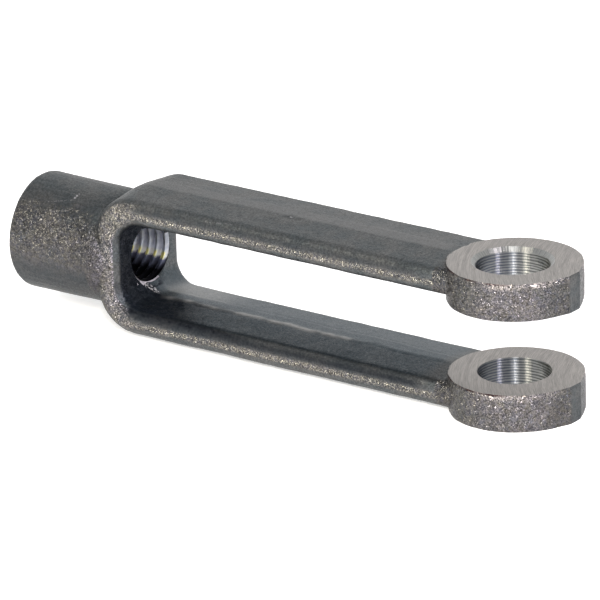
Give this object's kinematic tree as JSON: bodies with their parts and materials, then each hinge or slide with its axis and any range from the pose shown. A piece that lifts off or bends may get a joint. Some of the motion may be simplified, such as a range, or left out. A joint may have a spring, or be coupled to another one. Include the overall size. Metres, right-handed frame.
{
  "type": "clevis rod end",
  "caption": "Forged long-arm clevis rod end: a U-shaped yoke with a cross-drilled eye on each arm and a round tapped socket behind.",
  "frame": {"origin": "on the pin bore's axis, halfway between the two eyes", "axes": "+X from the threaded socket to the eyes, +Z along the pin bore, Y across the arms"},
  "size_m": [0.1435, 0.0296, 0.0336],
  "materials": {
    "forged_steel": "forged and blasted steel, with milled eye faces"
  },
  "bodies": {
    "root": {"yoke_forging": "forged_steel"}
  },
  "joints": []
}
